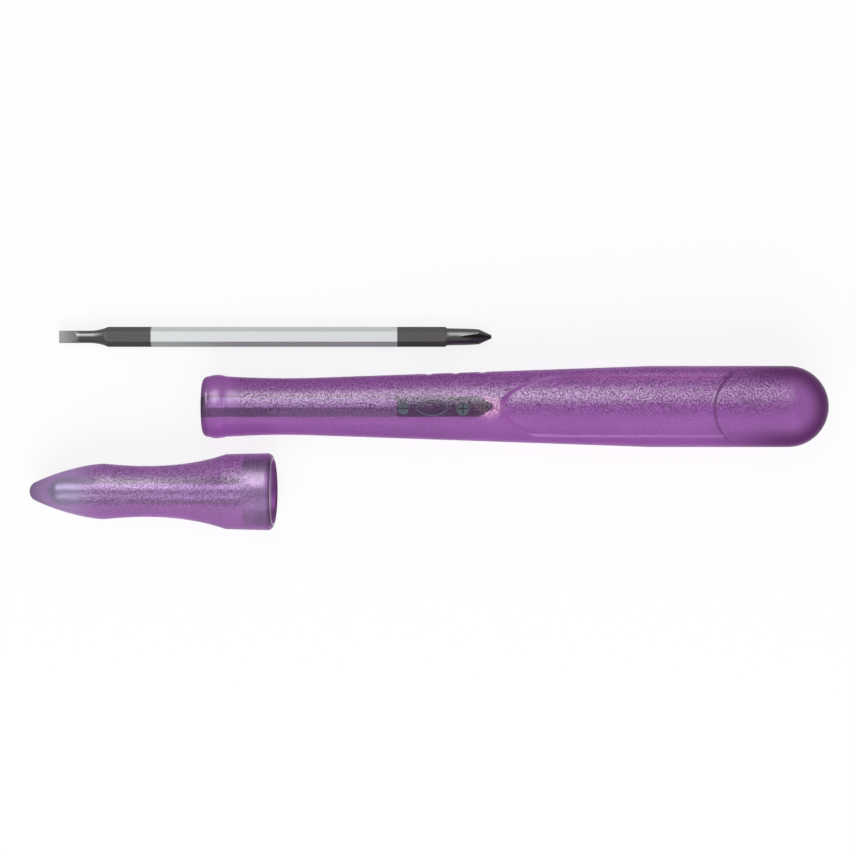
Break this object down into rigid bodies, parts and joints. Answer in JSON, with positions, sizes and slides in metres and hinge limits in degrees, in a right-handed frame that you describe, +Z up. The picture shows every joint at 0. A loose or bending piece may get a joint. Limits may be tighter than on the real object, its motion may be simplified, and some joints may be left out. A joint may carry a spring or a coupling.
{
  "type": "pocket screwdriver",
  "caption": "Pocket screwdriver taken apart: tapered clear violet handle with a sunk grip panel, reversible hexagonal blade with slotted and cross tips, and push-on cap.",
  "frame": {"origin": "on the table under the middle of the box round the three pieces", "axes": "+X along the handle from nose to butt, +Y across the row from the cap to the blade, +Z up from the table"},
  "size_m": [0.1598, 0.0408, 0.0167],
  "materials": {
    "violet_plastic": "clear violet moulded plastic, finely grained, with a polished nose, butt and cap point",
    "blade_steel": "satin steel bar with burnished dark ends and bright ground tips"
  },
  "bodies": {
    "handle": {"handle": "violet_plastic"},
    "blade": {"blade": "blade_steel"},
    "cap": {"cap": "violet_plastic"}
  },
  "joints": [
    {"name": "blade_slide", "type": "slide", "parent": "handle", "child": "blade", "axis": [-1, 0, 0], "range_m": [0, 0.0579]},
    {"name": "cap_slide", "type": "slide", "parent": "handle", "child": "cap", "axis": [-1, 0, 0], "range_m": [0, 0.035]}
  ]
}
